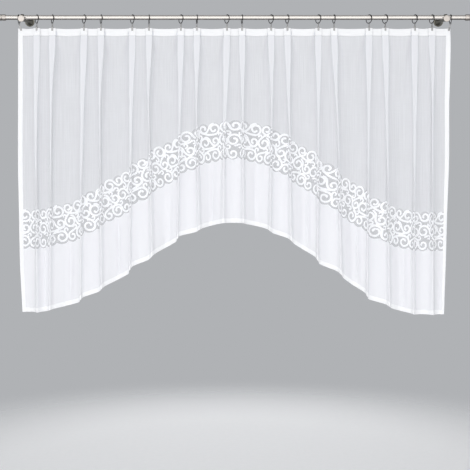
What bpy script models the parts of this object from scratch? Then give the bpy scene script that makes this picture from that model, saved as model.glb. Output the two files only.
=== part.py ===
# Jacquard curtain on its rod, with rings, clips, brackets and finials.
# Metres, +Z up. The wall is the plane y = 0 and the room is at -Y. The origin is on the wall,
# midway between the two brackets, at the height of the rod's axis.

import math

import bmesh
import bpy
from mathutils import Matrix, Vector

GAP = 0.0003                    # between pieces that touch

# Rod and finials
ROD_RADIUS = 0.0095
ROD_Y = -0.120                  # rod axis in front of the wall
ROD_LEFT_END = -0.9775
ROD_RIGHT_END = 0.9903
ROD_SEGMENTS = 32
FINIAL_RADIUS = 0.0125
FINIAL_LENGTH = 0.046
FINIAL_BORE_DEPTH = 0.020
FINIAL_GROOVE = 0.0015

# Brackets
BRACKET_X = 0.8880
PLATE_RISE = 0.014              # the wall plate sits above the rod's axis
ARM_DROP = 0.010                # and the arm slopes down to pass under it
PLATE_RADIUS = 0.021
PLATE_THICKNESS = 0.005
FOOT_RADIUS = 0.0165            # the arm's conical foot, at the plate
FOOT_LENGTH = 0.036
ARM_RADIUS = 0.0058
COLLAR_RADIUS = 0.0135
COLLAR_WIDTH = 0.012
NECK_RADIUS = 0.005
NECK_REACH = 0.0195             # how far the neck stands in front of the rod axis
CAP_RADIUS = 0.0135
CAP_THICKNESS = 0.005

# Rings and clips
RING_RADIUS = 0.0175            # to the middle of the wire
RING_WIRE = 0.0015
RING_SEAT = 0.00065             # clearance where a ring hangs on the rod
RING_SIDES = 16
WIRE_SIDES = 5
EYE_RADIUS = 0.0037
EYE_WIRE = 0.0008
CLIP_WIDTH = 0.007
CLIP_METAL = 0.0009
CLIP_BOTTOM = -0.056
CLIP_ROOF = -0.0410
CLIP_SHOULDER = -0.0395
CLIP_NECK = -0.0330
CLIP_TOP = -0.0286
CLIP_NECK_HALF = 0.0012

# Cloth and heading tape
CLOTH_THICKNESS = 0.001
CLOTH_Y = ROD_Y + 0.00235       # plane of the flat panels, so that the clips hang plumb
HEADER_TOP = -0.045
TAPE_TOP = -0.0465
TAPE_HEIGHT = 0.028
TAPE_THICKNESS = 0.001
TAPE_HALF = 0.8990
FOLD_CLOTH = 0.065              # flat cloth in one fold, from neck to neck

# Hem arch, as cut in the flat cloth: drops are below the header's top edge
ARCH_DROP = 0.817
SIDE_DROP_LEFT = 1.1915
SIDE_DROP_RIGHT = 1.2020
ARCH_HALF_LEFT = 1.345
ARCH_HALF_RIGHT = 1.270

# One row per ring, from the left: where it hangs, how far it is turned, and its clip's slant
RINGS = [
    # x (mm), yaw (deg), slant (deg)
    (-902.6, 0, -17), (-827.9, 33, 0), (-762.4, 28, 0), (-629.4, 33, 0), (-558.1, 22, 0),
    (-426.7, 33, 0), (-356.7, 9, 0), (-222.8, 33, 0), (-155.7, 10, 0), (-29.4, 33, 0),
    (33.6, 10, 0), (155.7, 32, 0), (224.1, 20, 0), (354.1, 33, 0), (420.0, 11, 0),
    (566.9, 33, 0), (634.9, 29, 0), (759.1, 26, 0), (830.8, 21, 0), (909.0, 0, 14),
]

# One row per fold, under rings 2 to 19: its middle at the header, at 0.45 m and at the hem, and
# how its lower end opens. A fold that stays narrow hides cloth, a rounded one hangs as a wave.
# The last column says how long the pleat keeps its width on the way down.
FOLDS = [
    # top, middle, low, width at the hem (mm), rounded (0 to 1), kept (0 to 1)
    (-827.9, -829, -822, 27, 1.0, 0.8),
    (-762.4, -764, -770, 24, 1.0, 0.25),
    (-629.4, -637, -642, 9, 0.1, 1.0),
    (-558.1, -560, -554, 27, 1.0, 0.1),
    (-426.7, -432, -435, 8, 0.0, 0.9),
    (-356.7, -358, -343, 29, 1.0, 0.0),
    (-222.8, -227, -236, 9, 0.1, 0.6),
    (-155.7, -158, -144, 27, 1.0, 0.2),
    (-29.4, -40, -46, 31, 1.0, 1.0),
    (33.6, 38, 38, 28, 1.0, 0.4),
    (155.7, 160, 150, 24, 0.9, 0.25),
    (224.1, 231, 240, 28, 1.0, 0.45),
    (354.1, 353, 349, 20, 0.7, 0.6),
    (420.0, 432, 448, 27, 1.0, 0.35),
    (566.9, 562, 558, 10, 0.1, 0.7),
    (634.9, 640, 650, 24, 1.0, 0.8),
    (759.1, 755, 751, 21, 0.8, 1.0),
    (830.8, 829, 830, 30, 1.0, 0.05),
]

# One row per level of the cloth. The first rows are measured down from the header's top edge,
# the others are shares of what is left down to the hem. A pleat is as wide as the cap, plus the
# extra if it keeps its width.
LEVELS = [
    # drop (m), share of the rest, cap, neck, valley (mm), opened (0 to 1), left, right, extra (mm)
    (0.000, 0.00, 29, 5, 0, 0.00, -907.4, 908.8, 0),
    (0.030, 0.00, 29, 5, 0, 0.00, -907.4, 910.4, 0),
    (0.110, 0.00, 24, 5, 3, 0.00, -907.4, 910.4, 5),
    (0.200, 0.00, 14, 5, 6, 0.00, -907.4, 908.2, 10),
    (0.310, 0.00, 8, 4.5, 9, 0.00, -907.4, 904.4, 10),
    (0.310, 0.30, 7, 4.5, 14, 0.15, -907.2, 904.0, 6),
    (0.310, 0.55, 8, 5, 20, 0.50, -902.6, 895.2, 2),
    (0.310, 0.78, 10, 5.5, 25, 0.85, -900.0, 890.7, 0),
    (0.310, 1.00, 12, 6, 28, 1.00, -890.4, 882.6, 0),
]
MIDDLE_DROP = 0.45
WIDE_PANEL = 0.100              # panels wider than this hang in the level's whole valley
WIDE_STEPS = 4                  # facets across a wide panel
NARROW_STEPS = 2
NARROW_VALLEY = 0.4             # share of the valley in a narrow panel
END_VALLEY = 0.3                # and in the two panels at the side hems
WAVE_LENGTH_FACTOR = 1.85       # cloth taken up by a steep wave, for each unit of its depth


def remove_everything():
    for thing in list(bpy.data.objects):
        bpy.data.objects.remove(thing, do_unlink=True)


def new_collection(name):
    collection = bpy.data.collections.new(name)
    bpy.context.scene.collection.children.link(collection)
    return collection


def new_material(name, color, roughness, metallic=0.0):
    material = bpy.data.materials.new(name)
    material.use_nodes = True
    shader = material.node_tree.nodes["Principled BSDF"]
    shader.inputs["Base Color"].default_value = (*color, 1.0)
    shader.inputs["Roughness"].default_value = roughness
    shader.inputs["Metallic"].default_value = metallic
    return material


def new_object(name, bm, material, collection, smooth=False):
    mesh = bpy.data.meshes.new(name)
    bm.to_mesh(mesh)
    bm.free()
    mesh.materials.append(material)
    if smooth:
        mesh.shade_smooth()
        mesh.set_sharp_from_angle(angle=math.radians(40))
    thing = bpy.data.objects.new(name, mesh)
    collection.objects.link(thing)
    return thing


def add_cylinder(bm, radius, start, end, segments, end_radius=None):
    """A capped cylinder or cone between two points, added to a bmesh."""
    start, end = Vector(start), Vector(end)
    turn = (end - start).to_track_quat("Z", "Y").to_matrix().to_4x4()
    bmesh.ops.create_cone(bm, cap_ends=True, segments=segments, radius1=radius,
                          radius2=radius if end_radius is None else end_radius,
                          depth=(end - start).length,
                          matrix=Matrix.Translation((start + end) / 2) @ turn)


def cylinder_object(name, radius, start, end, segments, material, collection, end_radius=None):
    bm = bmesh.new()
    add_cylinder(bm, radius, start, end, segments, end_radius)
    return new_object(name, bm, material, collection, smooth=True)


def add_torus(bm, radius, wire, sides, wire_sides, matrix):
    """A wire ring about Z, spun from its round section, then placed by matrix."""
    section = bmesh.ops.create_circle(bm, cap_ends=False, segments=wire_sides, radius=wire,
                                      matrix=Matrix.Translation((radius, 0, 0))
                                      @ Matrix.Rotation(math.pi / 2, 4, "X"))
    edges = list({edge for vert in section["verts"] for edge in vert.link_edges})
    bmesh.ops.spin(bm, geom=section["verts"] + edges, cent=(0, 0, 0), axis=(0, 0, 1),
                   angle=2 * math.pi, steps=sides, use_merge=True)
    bmesh.ops.recalc_face_normals(bm, faces=bm.faces)
    bmesh.ops.transform(bm, matrix=matrix, verts=bm.verts)


def boolean(thing, cutter, operation):
    modifier = thing.modifiers.new(operation.lower(), "BOOLEAN")
    modifier.object = cutter
    modifier.operation = operation
    modifier.solver = "EXACT"
    cutter.hide_render = True
    cutter.display_type = "WIRE"


def mix(low, high, share):
    return low + (high - low) * share


def hem_drop(flat):
    """Drop of the hem below the header's top, at a place across the flat cloth."""
    is_left = flat < FLAT_WIDTH / 2
    half = ARCH_HALF_LEFT if is_left else ARCH_HALF_RIGHT
    side_drop = SIDE_DROP_LEFT if is_left else SIDE_DROP_RIGHT
    away = min(abs(flat - FLAT_WIDTH / 2) / half, 1.0)
    return mix(ARCH_DROP, side_drop, (1 - math.cos(math.pi * away)) / 2)


def fold_middle(fold, drop, share):
    """Where a fold's middle hangs: it drifts from its ring down to the middle, then to the hem."""
    top, middle, low = (value / 1000 for value in fold[:3])
    if share > 0:
        return mix(middle, low, share)
    return mix(top, middle, min(drop / MIDDLE_DROP, 1.0))


def pleat_corners(cap, neck):
    """The eight corners of a pleat, from neck to neck: (x from its middle, depth to the front).

    The neck rises half of the depth, and the cap lies over it. The depth takes up what is left
    of the fold's cloth, so a wide cap lies flat as a box pleat and a narrow one stands out.
    """
    depth = (FOLD_CLOTH + neck - 2 * cap) / 2
    left = [(-neck / 2, 0.0), (-neck / 2, depth / 2), (-cap / 2, depth / 2), (-cap / 2, depth)]
    return left + [(-x, y) for x, y in reversed(left)]


def wave_corners(width):
    """The same eight corners on a rounded wave of the same cloth."""
    depth = (FOLD_CLOTH - width / 2) / WAVE_LENGTH_FACTOR
    places = [corner / 7 for corner in range(8)]
    return [((along - 0.5) * width, depth * math.sin(math.pi * along) ** 2) for along in places]


def fold_corners(fold, cap, neck, opened):
    """A fold's corners at a level: a pleat above, which opens towards its own shape at the hem."""
    width, rounded = fold[3] / 1000, fold[4]
    pleat = pleat_corners(cap, mix(neck, min(neck, width), opened))
    wave = wave_corners(width)
    share = rounded * opened
    return [(mix(a[0], b[0], share), mix(a[1], b[1], share)) for a, b in zip(pleat, wave)]


def valley_share(number, width):
    if number in (0, len(FOLDS)):
        return END_VALLEY
    return 1.0 if width > WIDE_PANEL else NARROW_VALLEY


def panel_steps(width):
    return WIDE_STEPS if width > WIDE_PANEL else NARROW_STEPS


def section(level):
    """One level of the hung cloth: a list of (x, y, place across the flat cloth)."""
    drop, share, cap, neck, valley, opened, left_edge, right_edge, extra = level
    points = [(left_edge / 1000, CLOTH_Y, 0.0)]
    flat = 0.0
    for number, width in enumerate(PANEL_WIDTHS):
        if number < len(FOLDS):
            middle = fold_middle(FOLDS[number], drop, share)
            wide_cap = cap + extra * FOLDS[number][5]
            corners = fold_corners(FOLDS[number], wide_cap / 1000, neck / 1000, opened)
            end_x = middle + corners[0][0]
        else:
            end_x = right_edge / 1000
        start_x = points[-1][0]
        steps = panel_steps(width)
        sag = valley / 1000 * valley_share(number, width)
        for step in range(1, steps):
            along = step / steps
            points.append((mix(start_x, end_x, along), CLOTH_Y + sag * math.sin(math.pi * along) ** 2,
                           flat + width * along))
        flat += width
        if number < len(FOLDS):
            for corner, (x, depth) in enumerate(corners):
                along = corner / (len(corners) - 1)
                points.append((middle + x, CLOTH_Y - depth, flat + FOLD_CLOTH * along))
            flat += FOLD_CLOTH
        else:
            points.append((end_x, CLOTH_Y, flat))
    return points


def panel_widths():
    """Width of each flat panel of cloth, as it lies along the header between the pleats' necks."""
    half_neck = LEVELS[0][3] / 2
    starts = [LEVELS[0][6]] + [fold[0] + half_neck for fold in FOLDS]
    ends = [fold[0] - half_neck for fold in FOLDS] + [LEVELS[0][7]]
    return [(end - start) / 1000 for start, end in zip(starts, ends)]


PANEL_WIDTHS = panel_widths()
FLAT_WIDTH = sum(PANEL_WIDTHS) + FOLD_CLOTH * len(FOLDS)


def make_curtain(collection):
    """A grid of the cloth, each vertex moved to its place on the folds, then made a sheet."""
    voile = new_material("voile_white", (0.86, 0.87, 0.89), 0.75)
    rows = [section(level) for level in LEVELS]
    columns = len(rows[0])
    bm = bmesh.new()
    bmesh.ops.create_grid(bm, x_segments=columns - 1, y_segments=len(rows) - 1, size=1)
    bm.verts.ensure_lookup_table()
    for vert in bm.verts:
        row_number, column = divmod(vert.index, columns)
        drop, share = LEVELS[row_number][:2]
        x, y, flat = rows[row_number][column]
        vert.co = (x, y, HEADER_TOP - mix(drop, hem_drop(flat), share))
    bmesh.ops.triangulate(bm, faces=bm.faces)
    curtain = new_object("curtain", bm, voile, collection)
    sheet = curtain.modifiers.new("sheet", "SOLIDIFY")
    sheet.thickness = CLOTH_THICKNESS
    sheet.offset = 0
    sheet.use_even_offset = True


def make_heading_tape(collection):
    tape_white = new_material("tape_white", (0.9, 0.9, 0.92), 0.7)
    front = CLOTH_Y + CLOTH_THICKNESS / 2 + GAP
    middle = Vector((0, front + TAPE_THICKNESS / 2, TAPE_TOP - TAPE_HEIGHT / 2))
    size = Matrix.Diagonal((2 * TAPE_HALF, TAPE_THICKNESS, TAPE_HEIGHT, 1))
    bm = bmesh.new()
    bmesh.ops.create_cube(bm, size=1, matrix=Matrix.Translation(middle) @ size)
    new_object("heading_tape", bm, tape_white, collection)


def make_rod(collection, steel):
    cylinder_object("rod", ROD_RADIUS, (ROD_LEFT_END, ROD_Y, 0), (ROD_RIGHT_END, ROD_Y, 0),
                    ROD_SEGMENTS, steel, collection)


def make_finial(name, end, outward, collection, steel):
    """A turned cap pushed over the rod's end: a blind bore, one groove and an eased end."""
    bore = ROD_RADIUS + GAP
    inner = GAP
    mouth = inner - FINIAL_BORE_DEPTH
    tip = mouth + FINIAL_LENGTH
    ease = 0.003
    groove = mouth + 0.014
    profile = [
        (0, inner), (bore, inner), (bore, mouth), (FINIAL_RADIUS - 0.001, mouth),
        (FINIAL_RADIUS, mouth + 0.001), (FINIAL_RADIUS, groove),
        (FINIAL_RADIUS - FINIAL_GROOVE, groove + 0.0005), (FINIAL_RADIUS - FINIAL_GROOVE, groove + 0.002),
        (FINIAL_RADIUS, groove + 0.0025), (FINIAL_RADIUS, tip - ease),
        (FINIAL_RADIUS - 0.3 * ease, tip - 0.3 * ease), (FINIAL_RADIUS - ease, tip), (0, tip),
    ]
    bm = bmesh.new()
    verts = [bm.verts.new((radius, 0, along)) for radius, along in profile]
    edges = [bm.edges.new(pair) for pair in zip(verts, verts[1:])]
    bmesh.ops.spin(bm, geom=verts + edges, cent=(0, 0, 0), axis=(0, 0, 1), angle=2 * math.pi,
                   steps=24, use_merge=True)
    bmesh.ops.remove_doubles(bm, verts=bm.verts, dist=0.00001)
    bmesh.ops.recalc_face_normals(bm, faces=bm.faces)
    turn = Vector((outward, 0, 0)).to_track_quat("Z", "Y").to_matrix().to_4x4()
    bmesh.ops.transform(bm, matrix=Matrix.Translation((end, ROD_Y, 0)) @ turn, verts=bm.verts)
    new_object(name, bm, steel, collection, smooth=True)


def make_bracket(side, x, collection, cutters, steel):
    """Wall plate, conical foot, arm, collar round the rod and a short neck, cast in one, and the
    front cap. The arm slopes down from the plate and ends a little below the rod's axis."""
    overlap = 0.001
    high, low = PLATE_RISE, -ARM_DROP
    root = -PLATE_THICKNESS + overlap
    slope = Matrix.Identity(4)
    slope[2][1] = (high - low) / -ROD_Y
    bracket = cylinder_object("bracket_" + side, PLATE_RADIUS, (x, -PLATE_THICKNESS, high),
                              (x, 0, high), 32, steel, collection)
    shapes = [
        ("foot", FOOT_RADIUS, (x, root, high), (x, -FOOT_LENGTH, high), 24, ARM_RADIUS),
        ("arm", ARM_RADIUS, (x, root, high), (x, ROD_Y, high), 20, ARM_RADIUS),
        ("neck", NECK_RADIUS, (x, ROD_Y + overlap, low), (x, ROD_Y - NECK_REACH, low), 16, NECK_RADIUS),
        ("collar", COLLAR_RADIUS, (x - COLLAR_WIDTH / 2, ROD_Y, 0),
         (x + COLLAR_WIDTH / 2, ROD_Y, 0), 28, COLLAR_RADIUS),
    ]
    for name, radius, start, end, segments, end_radius in shapes:
        shape = cylinder_object(f"{name}_{side}", radius, start, end, segments, steel, cutters,
                                end_radius)
        if name in ("foot", "arm"):
            shape.data.transform(slope)
        boolean(bracket, shape, "UNION")
    bore = cylinder_object(f"bore_{side}", ROD_RADIUS + GAP, (x - COLLAR_WIDTH, ROD_Y, 0),
                           (x + COLLAR_WIDTH, ROD_Y, 0), ROD_SEGMENTS, steel, cutters)
    boolean(bracket, bore, "DIFFERENCE")

    back = ROD_Y - NECK_REACH - GAP
    bm = bmesh.new()
    add_cylinder(bm, CAP_RADIUS, (x, back, low), (x, back - CAP_THICKNESS, low), 28)
    front_rim = [edge for edge in bm.edges
                 if all(vert.co.y < back - CAP_THICKNESS / 2 for vert in edge.verts)]
    bmesh.ops.bevel(bm, geom=front_rim, offset=0.0012, offset_type="OFFSET", segments=2,
                    profile=0.5, affect="EDGES", material=-1)
    new_object("bracket_cap_" + side, bm, steel, collection, smooth=True)


def ring_height():
    """The ring's centre, so that its inside rests just over the rod."""
    wire_inside = RING_WIRE * math.cos(math.pi / WIRE_SIDES)
    return ROD_RADIUS + RING_SEAT - (RING_RADIUS - wire_inside)


def make_ring(number, x, yaw, collection, steel):
    bm = bmesh.new()
    place = (Matrix.Translation((x, ROD_Y, ring_height())) @ Matrix.Rotation(math.radians(yaw), 4, "Z")
             @ Matrix.Rotation(math.pi / 2, 4, "Y"))
    add_torus(bm, RING_RADIUS, RING_WIRE, RING_SIDES, WIRE_SIDES, place)
    new_object(f"ring_{number:02d}", bm, steel, collection, smooth=True)


def make_clip(number, x, slant, is_end, collection, cutters, steel):
    """A bent clip: two jaws over the heading, a head, and an eye round the ring's wire."""
    pleat_depth = 0.0 if is_end else pleat_corners(LEVELS[0][2] / 1000, LEVELS[0][3] / 1000)[4][1]
    front = CLOTH_Y - pleat_depth - CLOTH_THICKNESS / 2 - GAP - ROD_Y
    back = CLOTH_Y + CLOTH_THICKNESS / 2 + TAPE_THICKNESS + 2 * GAP - ROD_Y
    outline = [
        (back, CLIP_BOTTOM), (back + CLIP_METAL, CLIP_BOTTOM), (back + CLIP_METAL, CLIP_SHOULDER),
        (CLIP_NECK_HALF, CLIP_NECK), (CLIP_NECK_HALF, CLIP_TOP), (-CLIP_NECK_HALF, CLIP_TOP),
        (-CLIP_NECK_HALF, CLIP_NECK), (front - CLIP_METAL, CLIP_SHOULDER),
        (front - CLIP_METAL, CLIP_BOTTOM), (front, CLIP_BOTTOM), (front, CLIP_ROOF), (back, CLIP_ROOF),
    ]
    ring_wire_top = ring_height() - RING_RADIUS + RING_WIRE
    eye_inside = (EYE_RADIUS - EYE_WIRE) * math.cos(math.pi / 10)
    eye_z = ring_wire_top + GAP - eye_inside
    place = (Matrix.Translation((x, ROD_Y, eye_z)) @ Matrix.Rotation(math.radians(slant), 4, "Y")
             @ Matrix.Translation((0, 0, -eye_z)))

    bm = bmesh.new()
    verts = [bm.verts.new((-CLIP_WIDTH / 2, y, z)) for y, z in outline]
    face = bm.faces.new(verts)
    side = bmesh.ops.extrude_face_region(bm, geom=[face])
    moved = [item for item in side["geom"] if isinstance(item, bmesh.types.BMVert)]
    bmesh.ops.translate(bm, vec=(CLIP_WIDTH, 0, 0), verts=moved)
    bmesh.ops.recalc_face_normals(bm, faces=bm.faces)
    bmesh.ops.transform(bm, matrix=place, verts=bm.verts)
    clip = new_object(f"clip_{number:02d}", bm, steel, collection)

    bm = bmesh.new()
    upright = Matrix.Translation((0, 0, eye_z)) @ Matrix.Rotation(math.pi / 2, 4, "X")
    add_torus(bm, EYE_RADIUS, EYE_WIRE, 10, 4, place @ upright)
    eye = new_object(f"eye_{number:02d}", bm, steel, cutters)
    boolean(clip, eye, "UNION")


def main():
    remove_everything()
    collection = new_collection("jacquard_curtain")
    cutters = new_collection("cutters")
    steel = new_material("brushed_steel", (0.62, 0.58, 0.54), 0.32, 1.0)
    bracket_steel = new_material("bracket_steel", (0.50, 0.48, 0.45), 0.35, 1.0)
    ring_steel = new_material("ring_steel", (0.45, 0.42, 0.38), 0.3, 1.0)
    clip_steel = new_material("clip_steel", (0.75, 0.74, 0.72), 0.3, 1.0)

    make_curtain(collection)
    make_heading_tape(collection)
    make_rod(collection, steel)
    make_finial("finial_left", ROD_LEFT_END, -1, collection, steel)
    make_finial("finial_right", ROD_RIGHT_END, 1, collection, steel)
    make_bracket("left", -BRACKET_X, collection, cutters, bracket_steel)
    make_bracket("right", BRACKET_X, collection, cutters, bracket_steel)
    for number, (x, yaw, slant) in enumerate(RINGS, start=1):
        is_end = number in (1, len(RINGS))
        make_ring(number, x / 1000, yaw, collection, ring_steel)
        make_clip(number, x / 1000, slant, is_end, collection, cutters, clip_steel)


main()
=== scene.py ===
import math

import bmesh
import bpy
import numpy as np
from mathutils import Matrix, Vector


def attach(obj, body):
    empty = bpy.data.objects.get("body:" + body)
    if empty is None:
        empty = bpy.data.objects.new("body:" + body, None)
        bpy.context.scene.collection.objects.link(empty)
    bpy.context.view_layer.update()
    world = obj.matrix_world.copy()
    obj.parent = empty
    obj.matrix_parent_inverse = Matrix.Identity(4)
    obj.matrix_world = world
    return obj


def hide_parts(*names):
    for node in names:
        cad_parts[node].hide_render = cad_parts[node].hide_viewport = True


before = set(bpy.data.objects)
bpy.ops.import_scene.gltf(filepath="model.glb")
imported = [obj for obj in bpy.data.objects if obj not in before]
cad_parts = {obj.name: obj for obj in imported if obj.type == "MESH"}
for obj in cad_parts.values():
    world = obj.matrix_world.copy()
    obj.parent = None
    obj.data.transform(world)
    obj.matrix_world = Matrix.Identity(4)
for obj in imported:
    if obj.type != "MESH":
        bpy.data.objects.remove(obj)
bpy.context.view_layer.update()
print("frame loaded")


# small helpers

def hexColor(code):
    parts = [int(code[i:i + 2], 16) / 255 for i in (1, 3, 5)]
    return (*[p / 12.92 if p <= 0.04045 else ((p + 0.055) / 1.055) ** 2.4 for p in parts], 1.0)


def setInputs(tree, node, values):
    # numbers and colours are set, sockets are linked, and a node gives its first output in use
    for name, value in values.items():
        if isinstance(value, bpy.types.Node):
            value = next(output for output in value.outputs if output.enabled)
        if isinstance(value, bpy.types.NodeSocket):
            tree.links.new(value, node.inputs[name])
        else:
            node.inputs[name].default_value = value


def addNode(tree, kind, values=None, **settings):
    made = tree.nodes.new("ShaderNode" + kind)
    for name, value in settings.items():
        setattr(made, name, value)
    setInputs(tree, made, values or {})
    return made


def newMaterial(name, **constants):
    made = bpy.data.materials.new(name)
    made.use_nodes = True
    tree = made.node_tree
    shader = tree.nodes["Principled BSDF"]
    setInputs(tree, shader, {key.replace("_", " "): value for key, value in constants.items()})
    return made, tree, shader


def colorAndBump(tree, shader, pattern, low, high, strength, distance):
    # one pattern gives a surface both its two tones and its relief
    color = addNode(tree, "Mix", {"Factor": pattern, "A": hexColor(low), "B": hexColor(high)},
                    data_type="RGBA")
    bump = addNode(tree, "Bump", {"Strength": strength, "Distance": distance, "Height": pattern})
    setInputs(tree, shader, {"Base Color": color, "Normal": bump})


def addPiece(name, mesh, material, replaced=(), angle=35):
    mesh.materials.clear()
    mesh.materials.append(material)
    mesh.shade_smooth()
    if angle:
        mesh.set_sharp_from_angle(angle=math.radians(angle))
    piece = bpy.data.objects.new(name, mesh)
    bpy.context.scene.collection.objects.link(piece)
    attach(piece, "root")
    if replaced:
        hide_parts(*replaced)
    return piece


def toMesh(name, bm):
    mesh = bpy.data.meshes.new(name)
    bm.to_mesh(mesh)
    bm.free()
    return mesh


def setPoints(mesh, points):
    mesh.vertices.foreach_set("co", points.astype(np.float32).ravel())
    mesh.update()


def mix(low, high, share):
    return low + (high - low) * share


# the camera stands level with the lower third of the cloth, as the photograph was taken
view = {"x": 0.0042, "y": -3.420, "z": -0.913, "lens": 60.2, "sensor": 36.0}

cameraData = bpy.data.cameras.new("camera")
cameraData.lens = view["lens"]
cameraData.sensor_width = view["sensor"]
camera = bpy.data.objects.new("camera", cameraData)
camera.location = (view["x"], view["y"], view["z"])
camera.rotation_euler = (math.pi / 2, 0, 0)
bpy.context.scene.collection.objects.link(camera)
bpy.context.scene.camera = camera


# where everything hangs, in metres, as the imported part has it
rod = {"y": -0.120, "radius": 0.0095, "left": -0.9775, "right": 0.9903, "wall": 0.0008,
       "plug": 0.012, "ease": 0.0003}

# one row per ring: x (mm), turn (degrees), slant of its clip (degrees)
ringPlaces = [
    (-902.6, 0, -17), (-827.9, 33, 0), (-762.4, 28, 0), (-629.4, 33, 0), (-558.1, 22, 0),
    (-426.7, 33, 0), (-356.7, 9, 0), (-222.8, 33, 0), (-155.7, 10, 0), (-29.4, 33, 0),
    (33.6, 10, 0), (155.7, 32, 0), (224.1, 20, 0), (354.1, 33, 0), (420.0, 11, 0),
    (566.9, 33, 0), (634.9, 29, 0), (759.1, 26, 0), (830.8, 21, 0), (909.0, 0, 14),
]

# the cloth: its folds and levels are the CAD solid's own
cloth = {
    "top": -0.045, "y": rod["y"] + 0.00235, "foldCloth": 0.065,
    "archDrop": 0.817, "sideDrop": (1.1915, 1.2020), "archHalf": (1.345, 1.270),
    "restDrop": 0.310,
    "middleDrop": 0.45, "widePanel": 0.100, "narrowValley": 0.4, "endValley": 0.3,
    "waveLength": 1.85, "valleySteps": 25, "layerGap": 0.0005,
    # how far the top edge sags in a panel this wide, and the drop where that has run out
    "headerSag": 0.0024, "sagPanel": 0.127, "sagDrop": 0.3,
    # slow unevenness: how far to the side and how far out, the drop where it is full, and its
    # waves, each with its length across, its length down (m) and its share
    "swaySide": 0.0022, "swayOut": 0.0028, "swayFrom": 0.5, "swayTurn": 0.43,
    "swayWaves": [(0.61, 1.9, 1.0), (0.27, 0.83, 0.7), (0.115, 0.47, 0.4)],
    # the folds hang from all rings but the end ones: where each is in the middle and low down,
    # width at the hem (mm), rounded (0 to 1), and how long it keeps its width (0 to 1)
    "folds": [
        (-829, -822, 27, 1.0, 0.8), (-764, -770, 24, 1.0, 0.25), (-637, -642, 9, 0.1, 1.0),
        (-560, -554, 27, 1.0, 0.1), (-432, -435, 8, 0.0, 0.9), (-358, -343, 29, 1.0, 0.0),
        (-227, -236, 9, 0.1, 0.6), (-158, -144, 27, 1.0, 0.2), (-40, -46, 31, 1.0, 1.0),
        (38, 38, 28, 1.0, 0.4), (160, 150, 24, 0.9, 0.25), (231, 240, 28, 1.0, 0.45),
        (353, 349, 20, 0.7, 0.6), (432, 448, 27, 1.0, 0.35), (562, 558, 10, 0.1, 0.7),
        (640, 650, 24, 1.0, 0.8), (755, 751, 21, 0.8, 1.0), (829, 830, 30, 1.0, 0.05),
    ],
    # drop (m), share of the rest, cap, neck, valley (mm), opened, left and right edge (mm), and
    # what a pleat that keeps its width has over the cap (mm)
    "levels": [
        (0.000, 0.00, 29, 5, 0, 0.00, -907.4, 908.8, 0),
        (0.030, 0.00, 29, 5, 0, 0.00, -907.4, 910.4, 0),
        (0.110, 0.00, 24, 5, 3, 0.00, -907.4, 910.4, 5),
        (0.200, 0.00, 14, 5, 6, 0.00, -907.4, 908.2, 10),
        (0.310, 0.00, 8, 4.5, 9, 0.00, -907.4, 904.4, 10),
        (0.310, 0.30, 7, 4.5, 14, 0.15, -907.2, 904.0, 6),
        (0.310, 0.55, 8, 5, 20, 0.50, -902.6, 895.2, 2),
        (0.310, 0.78, 10, 5.5, 25, 0.85, -900.0, 890.7, 0),
        (0.310, 1.00, 12, 6, 28, 1.00, -890.4, 882.6, 0),
    ],
    # softness of the bends across the cloth (mm), at the levels' places
    "softness": [0.8, 0.9, 1.5, 2.2, 3.0, 4.4, 6.4, 8.4, 9.6],
    # how narrow the valley between two folds is, at the same places
    "sharpness": [1.0, 1.0, 1.0, 1.0, 1.0, 1.0, 1.05, 1.1, 1.15],
    "tableRows": 161, "tableStep": 0.0005,
}


cloth["folds"] = [(place[0], *fold) for place, fold in zip(ringPlaces[1:-1], cloth["folds"])]
foldCloth, restDrop = cloth["foldCloth"], cloth["restDrop"]
levels = np.array(cloth["levels"], float)
# each level's place in the hung cloth: 0 to 1 down to the rest drop, 1 to 2 from there to the hem
levelPlaces = np.where(levels[:, 1] > 0, 1 + levels[:, 1], levels[:, 0] / restDrop)


def panelWidths():
    # the flat cloth between the folds, as it lies along the heading
    neck, leftEdge, rightEdge = levels[0, [3, 6, 7]]
    starts = [leftEdge] + [fold[0] + neck / 2 for fold in cloth["folds"]]
    ends = [fold[0] - neck / 2 for fold in cloth["folds"]] + [rightEdge]
    return [float(end - start) / 1000 for start, end in zip(starts, ends)]


panels = panelWidths()
panelStarts = np.cumsum([0.0] + [width + foldCloth for width in panels])
flatWidth = sum(panels) + foldCloth * len(cloth["folds"])


def hemDrop(flat):
    # how far down the hem's edge is: an arch, level in the middle and at both sides
    isLeft = flat < flatWidth / 2
    half = np.where(isLeft, *cloth["archHalf"])
    sideDrop = np.where(isLeft, *cloth["sideDrop"])
    away = np.minimum(np.abs(flat - flatWidth / 2) / half, 1.0)
    return mix(cloth["archDrop"], sideDrop, (1 - np.cos(np.pi * away)) / 2)


def tablePlace(flat, drop):
    # the same measure as levelPlaces, for any point of the cloth
    return np.where(drop < restDrop, drop / restDrop,
                    1 + (drop - restDrop) / (hemDrop(flat) - restDrop))


def pleatCorners(cap, neck):
    # a box pleat from above, as eight corners across and behind the panels' plane
    depth = (foldCloth + neck - 2 * cap) / 2
    left = [(-neck / 2, 0.0), (-neck / 2, depth / 2), (-cap / 2, depth / 2), (-cap / 2, depth)]
    return left + [(-x, y) for x, y in reversed(left)]


def waveCorners(width):
    # the rounded wave that the pleat opens into, as eight points too
    depth = (foldCloth - width / 2) / cloth["waveLength"]
    return [((k / 7 - 0.5) * width, depth * math.sin(math.pi * k / 7) ** 2) for k in range(8)]


def foldCorners(fold, cap, neck, opened):
    width, share = fold[3] / 1000, fold[4] * opened
    pleat = pleatCorners(cap, mix(neck, min(neck, width), opened))
    return [(mix(a[0], b[0], share), mix(a[1], b[1], share))
            for a, b in zip(pleat, waveCorners(width))]


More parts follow.
